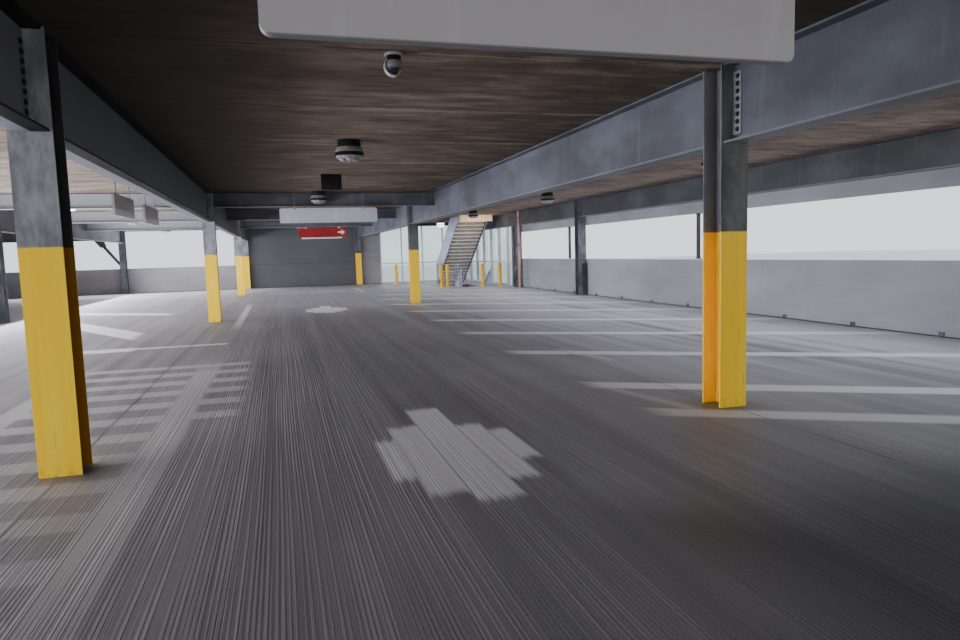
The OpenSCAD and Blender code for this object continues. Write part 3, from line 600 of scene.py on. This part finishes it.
# Where the own X, Y and Z of a copied bolt point, by the way that its head faces
facing = {"west": ((0, 1, 0), (0, 0, -1), (-1, 0, 0)), "east": ((0, 1, 0), (0, 0, 1), (1, 0, 0)),
          "south": ((1, 0, 0), (0, 0, 1), (0, -1, 0)), "north": ((-1, 0, 0), (0, 0, 1), (0, 1, 0)),
          "down": ((1, 0, 0), (0, -1, 0), (0, 0, -1))}
washer = turned([(0.0125, -0.0005), (0.0125, 0.0018)])
bolt = joined(washer, turned([(0.0098, 0.0018), (0.0098, 0.0072), (0.0082, 0.0088)], 6))
web_t, weld_w = 0.006, 0.004
row_bolts, row_edge, row_shift = 8, 0.024, 0.006
plates = solids("shear_tabs")
column_rows = solids("columns_aisle_west", "columns_aisle_east").mean(1)[:, 1]
middle = plates.mean(1)[:, 1]
nearest = column_rows[abs(column_rows - middle[:, None]).argmin(1)]
outward = np.sign(middle - nearest)
bolt_z = np.linspace(plates[:, 0, 2] + row_edge, plates[:, 1, 2] - row_edge, row_bolts)
bolt_y = np.broadcast_to(middle + outward * row_shift, bolt_z.shape)
heads = np.stack(np.broadcast_arrays(plates[:, 0, 0], bolt_y, bolt_z), -1)
nuts = heads + (plates[0, 1, 0] - plates[0, 0, 0] + web_t, 0, 0)
weld_y = np.where(outward > 0, plates[:, 0, 1], plates[:, 1, 1])
welds = [((x - weld_w, min(y, y + side * weld_w), z0), (x, max(y, y + side * weld_w), z1))
         for x, y, side, z0, z1 in zip(plates[:, 0, 0], weld_y, outward, plates[:, 0, 2], plates[:, 1, 2])]
dress(steel_finish("plate_pale", (150, 152, 158), (122, 124, 130)), "shear_tabs")
bolt_rows = joined(copies(bolt, heads, facing["west"]), copies(bolt, nuts, facing["east"]))
bolt_black = steel_finish("bolt_black", (58, 60, 66), (34, 36, 40), Metallic=0.3)
tab_bolts = new_piece("tab_bolts", bolt_rows, bolt_black)
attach(tab_bolts, "root")
weld_grey = steel_finish("weld_grey", (132, 134, 140), (98, 100, 106))
tab_welds = new_piece("tab_welds", slabs(welds, 0.0015), weld_grey)
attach(tab_welds, "root")


# Bolts of the knee braces
# Each brace is bolted through its gusset at the beam and to the column's web.
brace_run, brace_deep = 0.593, 0.094
head_bolts, foot_bolts = (0.06, 0.1, 0.14), (0.06, 0.1)
brace_rows = []
for low, high in solids("knee_braces"):
    inner, side = (low[1], "south") if low[1] > 0 else (high[1], "north")
    upper = np.array((high[0] - brace_run + brace_deep / 2, inner, high[2]))
    lower = np.array((high[0], inner, low[2] + brace_deep / 2))
    slope = (lower - upper) / np.linalg.norm(lower - upper)
    brace_rows.append(copies(bolt, [upper + slope * far for far in head_bolts], facing[side]))
    brace_rows.append(copies(bolt, [lower - slope * far for far in foot_bolts], facing[side]))
brace_bolts = new_piece("brace_bolts", joined(*brace_rows),
                        steel_finish("brace_bolt_grey", (76, 78, 84), (48, 50, 55)))
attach(brace_bolts, "root")


# Wall panels
# Smooth grey precast with bevelled top edges, sealed where two panels meet.
# Rain and hands have left streaks, and the casting beds left faint level bands.
def panel_finish(name, light, dark, shaded_stretch=None, lit_coping=None):
    """Fine cast concrete: level bands, cloudy tone, small pores and runs from the top edge.

    The shaded_stretch is the middle and half the width, along x in the real building, of a
    stretch under the top deck whose south faces are darkened with painted shade. The lit_coping
    is the height over each floor of a top edge with a painted highlight, on walls that are given
    painted shade to the south.
    """
    finish = Finish(name, Specular_IOR_Level=0.35)
    cloud = finish.noise((0.7, 0.7, 1.6), 3, 0.6)
    band = finish.noise((0.25, 0.25, 9), 2, 0.5)
    pore = finish.noise((90, 90, 90), 1, 0.6)
    run = finish.noise((12, 12, 0.6), 2, 0.6)
    color = finish.mix(cloud.rise(0.3, 0.75), rgb(*dark), rgb(*light))
    color = finish.mix(band.rise(0.5, 0.8) * 0.3, color, toned(light, 1.06))
    color = finish.mix(run.rise(0.6, 0.8) * 0.2, color, toned(dark, 0.8))
    color = finish.mix(pore.rise(0.64, 0.75) * 0.3, color, toned(dark, 0.7))
    if shaded_stretch is not None:
        x, _, z = finish.real_place()
        # Painted shade on the south faces of the stretch.
        southward = finish.axis(1, finish.add("ShaderNodeNewGeometry", out=1)).rise(-0.3, -0.6)
        stretch = x.near(*shaded_stretch, 0.1) & z.rise(deck_3_top, deck_3_top - 0.1) & southward
        color = finish.mix(stretch * (0.96 - cloud * 0.12), color, rgb(80, 80, 85))
    if lit_coping is not None:
        # Painted shade towards the south, and a painted highlight on the top edge.
        height = finish.over_floor()
        edge = height.rise(lit_coping - 0.022, lit_coping - 0.008) * height.rise(lit_coping + 0.6, lit_coping + 0.5)
        color = finish.mix(finish.real_place()[1].rise(26, 16) * 0.5, color, rgb(112, 115, 121))
        color = finish.mix(edge * 0.9, color, rgb(252, 252, 250))
    return finish.set(color=color, roughness=0.88 - cloud * 0.1, height=pore, relief=0.0005)


parapet_h, aisle_end_x, aisle_end_half = 1.3, 21.3, 3.2
dress(panel_finish("panel_grey", (156, 155, 159), (134, 133, 137)),
      "ramp_walls", "opening_walls", "tower_walls", "tower_roof")
# Side walls: painted shade to the south and a painted highlight on the top edge.
dress(panel_finish("side_panel_grey", (152, 152, 158), (132, 132, 138), lit_coping=parapet_h),
      "panels_east", "panels_west", "panels_south")
# Painted shade on the end walls' south faces across the aisle.
dress(panel_finish("end_panel_grey", (156, 155, 159), (134, 133, 137), (aisle_end_x, aisle_end_half)),
      "panels_north", "end_walls")
seal_inset, seal_dip = 0.003, 0.012
panel_seams = []
for names, axis in ((("panels_east", "panels_west"), 1), (("panels_north", "panels_south"), 0)):
    found = gaps(solids(*names), axis)
    found[:, 0, 1 - axis] += seal_inset
    found[:, 1, 1 - axis] -= seal_inset
    found[:, 1, 2] -= seal_dip
    panel_seams.append(found)
panel_sealant = new_piece("panel_sealant", slabs(np.concatenate(panel_seams), 0.001), sealant)
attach(panel_sealant, "root")


# Connections at the foot of the walls
# Each plate on the wall stands on an angle's leg, which is bolted to the deck,
# and is itself held by two bolts.
feet = solids("panel_plates")
inward = -np.sign(feet.mean(1)[:, 0])
face_x = np.where(inward < 0, feet[:, 0, 0], feet[:, 1, 0])
leg_l, leg_h, leg_over = 0.036, 0.006, 0.012
plate_bolt_z, plate_bolt_y = 0.029, 0.016
leg_boxes = [((min(x, x + side * leg_l), low[1] - leg_over, low[2]),
              (max(x, x + side * leg_l), high[1] + leg_over, low[2] + leg_h))
             for x, side, (low, high) in zip(face_x, inward, feet)]
plate_bolts = []
for side, direction in ((-1, "west"), (1, "east")):
    chosen = inward == side
    spots = np.stack((face_x[chosen], feet[chosen].mean(1)[:, 1], feet[chosen, 0, 2]), -1)
    plate_bolts += [copies(bolt, spots + (0, shift, plate_bolt_z), facing[direction])
                    for shift in (-plate_bolt_y, plate_bolt_y)]
    plate_bolts.append(copies(bolt, spots + (side * leg_l / 2, 0, leg_h)))
foot_steel = steel_finish("foot_steel", (112, 116, 122), (80, 84, 90))
dress(foot_steel, "panel_plates")
for piece in (new_piece("plate_legs", slabs(leg_boxes, 0.001), foot_steel),
              new_piece("plate_bolts", joined(*plate_bolts), foot_steel)):
    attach(piece, "root")


# Posts between parapet and header
# Each slim post stands on a small base plate with two anchors and carries the
# header on a like plate.
posts = solids("parapet_posts")
half_x, half_y, plate_t, anchor_y = 0.03, 0.056, 0.004, 0.044
cap_boxes, cap_bolts = [], []
for low, high in posts:
    x, y = (low + high)[:2] / 2
    for z0, z1 in ((low[2], low[2] + plate_t), (high[2] - plate_t, high[2])):
        cap_boxes.append(((x - half_x, y - half_y, z0), (x + half_x, y + half_y, z1)))
    anchors = [(x, y - anchor_y, 0), (x, y + anchor_y, 0)]
    cap_bolts += [copies(bolt, np.array(anchors) + (0, 0, low[2] + plate_t)),
                  copies(bolt, np.array(anchors) + (0, 0, high[2] - plate_t), facing["down"])]
post_steel = steel_finish("post_plate_grey", (104, 107, 113), (72, 75, 80))
for piece in (new_piece("post_plates", slabs(cap_boxes, 0.001), post_steel),
              new_piece("post_anchors", joined(*cap_bolts), post_steel)):
    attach(piece, "root")


# Stair
# Folded steel pans with pale lips on plate stringers, with pale flat side
# panels and round steel handrails. Each step has a dark gritty strip.
dress(steel_finish("stair_black", (66, 68, 72), (40, 42, 46)), "stair_stringers")
steps_up, lip_drop, lip_half = 21, 0.025, 0.023
riser = storey / steps_up
pan = Finish("stair_pan", Specular_IOR_Level=0.4)
worn = pan.noise((9, 9, 9), 2, 0.6)
lip = (pan.real_place()[2] - (slab_t + riser - lip_drop)).repeat(riser).near(0, lip_half, 0.006)
pan_color = pan.mix(worn.rise(0.3, 0.7), rgb(138, 133, 130), rgb(160, 155, 151))
pan_color = pan.mix(lip, pan_color, rgb(216, 212, 208))
dress(pan.set(color=pan_color, roughness=0.7 - worn * 0.2, height=worn, relief=0.0003), "stair_treads")
dress(steel_finish("stair_side_panel", (188, 192, 212), (160, 164, 188)), "stair_guards")
dress(steel_finish("rail_steel", (150, 154, 162), (110, 114, 122)), "stair_rails")
treads = solids("stair_treads")
strip_x, strip_back, strip_front, strip_t = 0.03, 0.024, 0.003, 0.002
nosing_boxes = [((low[0] + strip_x, high[1] - strip_back, high[2]),
                 (high[0] - strip_x, high[1] - strip_front, high[2] + strip_t)) for low, high in treads]
stair_nosings = new_piece("stair_nosings", slabs(nosing_boxes, 0.0006),
                          steel_finish("grit_strip", (70, 68, 62), (42, 41, 38)))
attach(stair_nosings, "root")


# Trimmers at the stair wells
# A smooth, pale cast trimmer hangs under each deck along the edge of the well
# where a flight arrives. Its warm tint is painted light from the stair lamp.
trimmer_t, trimmer_h, trimmer_over, trimmer_back = 0.05, 0.15, 0.04, 0.12
trimmer_y = treads[:, 0, 1].min() - trimmer_back
trimmer_x0, trimmer_x1 = treads[:, 0, 0].min() - trimmer_over, treads[:, 1, 0].max() + trimmer_over
trimmer_boxes = [((trimmer_x0, trimmer_y, soffit - trimmer_h), (trimmer_x1, trimmer_y + trimmer_t, soffit))
                 for soffit in np.unique(solids("deck_2_east", "deck_3_east")[:, 0, 2].round(4))]
stair_trimmers = new_piece("stair_trimmers", slabs(trimmer_boxes, 0.003),
                           panel_finish("trimmer_warm_lit", (246, 234, 214), (228, 214, 192)))
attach(stair_trimmers, "root")


# Feet of the rails round the stair well
# Each square post stands on a small plate, held by an anchor on either side.
foot_half, foot_t, foot_anchor, foot_over, post_step = 0.028, 0.004, 0.019, 0.018, 0.75
well_rail_least, well_rail_most = 0.5, 0.6
post_feet, foot_anchors = [], []
for low, high in solids("stair_rails"):
    if well_rail_least < high[2] - low[2] < well_rail_most:
        along = int(high[1] - low[1] > high[0] - low[0])
        thick = (high - low)[1 - along]
        spots = np.linspace(low[along] + thick / 2, high[along] - thick / 2,
                            int(np.ceil((high - low)[along] / post_step)) + 1)
        for place in spots:
            foot = np.array((low + high) / 2)
            foot[along], foot[2] = place, low[2]
            half = np.full(2, foot_half)
            half[1 - along] = min(foot_half, thick / 2 + foot_over)
            post_feet.append(((*(foot[:2] - half), foot[2]), (*(foot[:2] + half), foot[2] + foot_t)))
            step = np.zeros(3)
            step[along] = foot_anchor
            foot_anchors += [foot - step + (0, 0, foot_t), foot + step + (0, 0, foot_t)]
rail_feet = new_piece("rail_feet", joined(slabs(post_feet, 0.001), copies(bolt, foot_anchors)),
                      steel_finish("rail_foot_zinc", (150, 153, 160), (112, 115, 122)))
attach(rail_feet, "root")


# Screen under each flight
# A framed grid of flat bars closes the low space under the foot of a flight,
# so that nobody walks into it.
screen_y, screen_h, frame_w, bar_w, grid = 10.7, 0.36, 0.016, 0.006, 0.075
screen_x0, screen_x1 = treads[:, 0, 0].min() + 0.004, treads[:, 1, 0].max() - 0.004
frame_y0, bar_y, frame_y1 = screen_y - 0.003, screen_y + 0.002, screen_y + 0.007
screen_boxes = []
for floor_z in (slab_t / dim, deck_strips[:, 1, 2].min()):
    top_z = floor_z + screen_h
    upright = np.linspace(screen_x0, screen_x1, round((screen_x1 - screen_x0) / grid) + 1)
    across = np.linspace(floor_z, top_z, round(screen_h / grid) + 1)
    screen_boxes += [((x - bar_w / 2, screen_y, floor_z), (x + bar_w / 2, bar_y, top_z))
                     for x in upright[1:-1]]
    screen_boxes += [((screen_x0, bar_y, z - bar_w / 2), (screen_x1, bar_y + 0.002, z + bar_w / 2))
                     for z in across[1:-1]]
    screen_boxes += [((x, frame_y0, floor_z), (x + frame_w, frame_y1, top_z))
                     for x in (screen_x0, screen_x1 - frame_w)]
    screen_boxes += [((screen_x0, frame_y0, z), (screen_x1, frame_y1, z + frame_w))
                     for z in (floor_z, top_z - frame_w)]
stair_screens = new_piece("stair_screens", slabs(screen_boxes, 0.0008),
                          steel_finish("screen_pale", (206, 206, 212), (170, 170, 178)))
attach(stair_screens, "root")


# Glazed stair tower
# White window posts and rails outside the decks, with clear panes in front.
dress(steel_finish("window_frame", (222, 224, 226), (196, 198, 202)), "tower_mullions", "tower_rails")
glass = Finish("window_glass", Roughness=0.04, IOR=1.45, Transmission_Weight=1.0)
dress(glass.set(color=glass.mix(glass.noise((0.6, 0.6, 0.6), 1), rgb(226, 240, 236), rgb(236, 246, 244))),
      "tower_glass")


# Bollards, hanging boards and the dark box
# Steel posts and sheet boards in plain paint. Each board hangs on two rods,
# which end in a clamp on its top edge.
dress(steel_finish("bollard_yellow", (244, 196, 52), (220, 160, 26)), "bollards")
board_foot, board_top = deck_2_top + 2.57, deck_2_top + 2.97
# Painted shade on the near board, on the boards' lower edges and on the boards west of the aisle; the rods
# get their own darker paint.
near_board_shade = (1, 22, 20, 0.42, (142, 142, 152))
lower_edge_shade = (2, board_foot + 0.002, board_foot - 0.006, 0.75, (92, 91, 95))
rods = (2, board_top, board_top + 0.01, 0.8, (70, 70, 74))
west_boards_shade = (0, aisle_west - 0.1, aisle_west - 0.3, 0.85, (104, 98, 92))
dress(steel_finish("board_grey", (198, 198, 208), (190, 190, 200), dusty=0.04,
                   patches=[near_board_shade, lower_edge_shade, rods, west_boards_shade]), "hanging_boards")
dress(steel_finish("box_black", (34, 34, 36), (18, 18, 20)), "soffit_boxes")
board_h, sign_h, rod_shares = 0.2, 0.165, (0.15, 0.85)
clamp_half, clamp_down, clamp_up, clamp_t = 0.02, 0.016, 0.012, 0.003
boards, signs = solids("hanging_boards"), solids("arrow_sign")
board_heights = [board_h] * len(boards) + [sign_h] * len(signs)
clamps = []
for (low, high), height in zip(np.concatenate((boards, signs)), board_heights):
    along = int(high[1] - low[1] > high[0] - low[0])
    for share in rod_shares:
        spot = (low + high) / 2
        spot[along] = low[along] + share * (high[along] - low[along])
        spot[2] = low[2] + height
        half = np.full(2, clamp_half)
        half[1 - along] = (high - low)[1 - along] / 2 + clamp_t
        clamps.append((spot - (*half, clamp_down), spot + (*half, clamp_up)))
board_clamps = new_piece("board_clamps", slabs(clamps, 0.002),
                         steel_finish("clamp_zinc", (168, 170, 175), (130, 132, 138)))
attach(board_clamps, "root")


# Red direction board
# A red sheet with a white arrow to the right at its east end, and a narrow
# white strip under it.
def prism(outline, back, front):
    """An outline in (x, z), drawn anticlockwise as seen from the south, as a solid from back to front."""
    outline = np.array(outline, float)
    layers = [np.stack((outline[:, 0], np.full(len(outline), y), outline[:, 1]), 1) for y in (back, front)]
    return np.concatenate(layers), stack_faces(2, len(outline))


dress(steel_finish("sign_red", (158, 40, 44), (128, 24, 30)), "arrow_sign")
sign_low, sign_high = signs[0]
sign_w, sign_t = sign_high[0] - sign_low[0], 0.002
arrow = np.array([(0, -0.13), (0.5, -0.13), (0.5, -0.45), (1, 0), (0.5, 0.45), (0.5, 0.13), (0, 0.13)])
arrow = arrow * (0.15 * sign_w, 0.62 * sign_h) + (sign_low[0] + 0.82 * sign_w, sign_low[2] + sign_h / 2)
strip = ((sign_low[0] + 0.06 * sign_w, sign_low[1] + sign_t, sign_low[2] - 0.026),
         (sign_low[0] + 0.9 * sign_w, sign_high[1] - sign_t, sign_low[2]))
white_parts = joined(prism(arrow, sign_low[1], sign_low[1] - sign_t), slabs([strip], 0.002))
sign_white = new_piece("sign_white", white_parts,
                       steel_finish("sign_white", (226, 214, 212), (206, 192, 190)))
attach(sign_white, "root")


# Ceiling lights
# A black drum with a ribbed grey-white refractor, a dark ring and a lens of
# four bulged lobes. One west of the aisle and those at the stair are lit.
rib_pitch = 0.0035
drums = solids("ceiling_lights")
drum_r, drum_h = (drums[0, 1, 0] - drums[0, 0, 0]) / 2, drums[0, 1, 2] - drums[0, 0, 2]
tops = np.stack((*drums.mean(1).T[:2], drums[:, 1, 2]), -1)
lit_spot, lit_reach, stair_x, stair_y = (-0.305, 3.5), 2, 6, 11.3
lit = np.linalg.norm(tops[:, :2] - lit_spot, axis=1) < lit_reach
lit = lit | (tops[:, 0] > stair_x) & (tops[:, 1] > stair_y)
refractor = turned(np.array([(0.99, -0.72), (1.012, -0.7), (1.012, -0.62), (0.9, -0.48), (0.865, -0.42)])
                   * (drum_r, drum_h), 32)
ring = turned(np.array([(0.98, -0.93), (1.035, -0.91), (1.05, -0.82), (1.035, -0.72), (0.98, -0.7)])
              * (drum_r, drum_h), 32)
lens = turned(np.array([(0.55, -1.1), (0.8, -1.085), (0.93, -1.03), (0.99, -0.92)]) * (drum_r, drum_h), 32)
lobe = turned(np.array([(0.05, -1.24), (0.17, -1.22), (0.27, -1.16), (0.31, -1.06)]) * (drum_r, drum_h), 12)
lobe_places = 0.45 * drum_r * np.array([(1, 0, 0), (0, 1, 0), (-1, 0, 0), (0, -1, 0)])
lens = joined(lens, copies(lobe, lobe_places))
dress(steel_finish("light_housing", (46, 46, 48), (22, 22, 24)), "ceiling_lights")


def lens_finish(name, light, dark, **constants):
    """Moulded lens: fine ribs round the fitting and a dusty bloom."""
    finish = Finish(name, Specular_IOR_Level=0.6, Coat_Weight=0.3, **constants)
    dust = finish.noise((22, 22, 22), 2, 0.6)
    ribs = abs(finish.axis(2).repeat(rib_pitch)).rise(0.0006, 0.0016)
    color = finish.mix(dust.rise(0.35, 0.7), rgb(*dark), rgb(*light))
    color = finish.mix(ribs * 0.25, color, rgb(*dark))
    return finish.set(color=color, roughness=dust * 0.2 + 0.3, height=ribs, relief=0.0004)


glow = {"Emission_Color": (*rgb(255, 246, 250), 1), "Emission_Strength": 5.0}
light_parts = [("light_rings", ring, np.full(len(tops), True), "box_black",
                steel_finish("light_ring", (40, 40, 42), (20, 20, 22))),
               ("light_refractors", refractor, ~lit, "window_frame",
                lens_finish("refractor_grey", (150, 149, 142), (110, 109, 104))),
               ("light_lenses", lens, ~lit, "window_frame",
                lens_finish("lens_white", (164, 162, 168), (122, 120, 126))),
               ("lit_refractors", refractor, lit, "window_frame",
                lens_finish("refractor_lit", (250, 248, 250), (236, 232, 236), **glow)),
               ("lit_lenses", lens, lit, "window_frame",
                lens_finish("lens_lit", (250, 248, 250), (236, 232, 236), **glow))]
for name, shape, chosen, slot, material in light_parts:
    piece = new_piece(name, copies(shape, tops[chosen]), material)
    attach(piece, "root")


# Small camera over the aisle
# A polished dark ball under a round base, with a painted reflection on its upper
# half, held by a curved pale bracket on its west side.
def bow(inner, outer, width, start, end, steps=28):
    """A band bent round Y from one angle t to the other: x = r cos t and z = r sin t between two radii r."""
    angle = np.radians(np.linspace(start, end, steps))[:, None]
    radius, side = np.array([(inner, -1), (outer, -1), (outer, 1), (inner, 1)]).T
    corners = np.broadcast_arrays(radius * np.cos(angle), side * width / 2, radius * np.sin(angle))
    return np.stack(corners, -1).reshape(-1, 3), stack_faces(steps, 4)


ball_low, ball_high = min(solids("soffit_boxes"), key=lambda box: box[1, 0] - box[0, 0])
ball_x, ball_y = (ball_low + ball_high)[:2] / 2
ball_r = (ball_high[0] - ball_low[0]) / 2
ball_z = ball_low[2] + ball_r
bow_inner, bow_outer, bow_w, bow_start, bow_end = 1.03 * ball_r, 1.16 * ball_r, 0.9 * ball_r, 108, 285
base = turned([(0.95 * ball_r, -0.012), (1.05 * ball_r, -0.01), (1.05 * ball_r, 0)], 28)
bracket = joined(copies(bow(bow_inner, bow_outer, bow_w, bow_start, bow_end), (ball_x, ball_y, ball_z)),
                 copies(base, (ball_x, ball_y, ball_high[2])))
camera_bracket = new_piece("camera_bracket", bracket,
                           steel_finish("bracket_pale", (190, 188, 192), (150, 148, 152)))
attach(camera_bracket, "root")
polished = Finish("ball_glass", Specular_IOR_Level=0.8, Coat_Weight=1.0, Coat_Roughness=0.03)
smoke = polished.noise((40, 40, 40), 1)
# The upper half is paler: a painted reflection on the dark glass.
reflected_upper_half = polished.axis(2).rise(ball_z - ball_r * 0.5, ball_z)
polished.set(color=polished.mix(reflected_upper_half, rgb(34, 34, 36), rgb(150, 150, 156)),
             roughness=smoke * 0.1 + 0.05)
shell_r = 1.012 * ball_r
ball_shell = turned([(shell_r * np.cos(t), ball_z + shell_r * np.sin(t))
                     for t in np.radians(np.linspace(-88, 40, 20))], 32)
camera_ball = new_piece("camera_ball", copies(ball_shell, (ball_x, ball_y, 0)), polished.material)
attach(camera_ball, "root")


# Fire riser
# A painted steel pipe with grooved couplings, and a capped hose outlet.
dress(steel_finish("pipe_red", (196, 154, 152), (168, 128, 127)), "standpipe")
pipe_r, coupling_heights, outlet_z = 0.02875, (0.2, 0.95, 1.55), 0.45
fittings = []
coupling = turned([(0.029, -0.014), (0.037, -0.012), (0.037, -0.003), (0.034, 0),
                   (0.037, 0.003), (0.037, 0.012), (0.029, 0.014)], 24)
cap = turned([(0.018, -0.03), (0.024, -0.028), (0.024, -0.004), (0.021, 0.004), (0.008, 0.006)], 20)
for low, high in solids("standpipe"):
    pipe = np.array((high[0] - pipe_r, (low[1] + high[1]) / 2, low[2]))
    fittings += [copies(coupling, pipe + (0, 0, rise)) for rise in coupling_heights]
    fittings.append(copies(cap, (low[0], pipe[1], low[2] + outlet_z), facing["west"]))
riser_fittings = new_piece("riser_fittings", joined(*fittings),
                           steel_finish("fitting_red", (188, 104, 102), (158, 78, 78)))
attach(riser_fittings, "root")
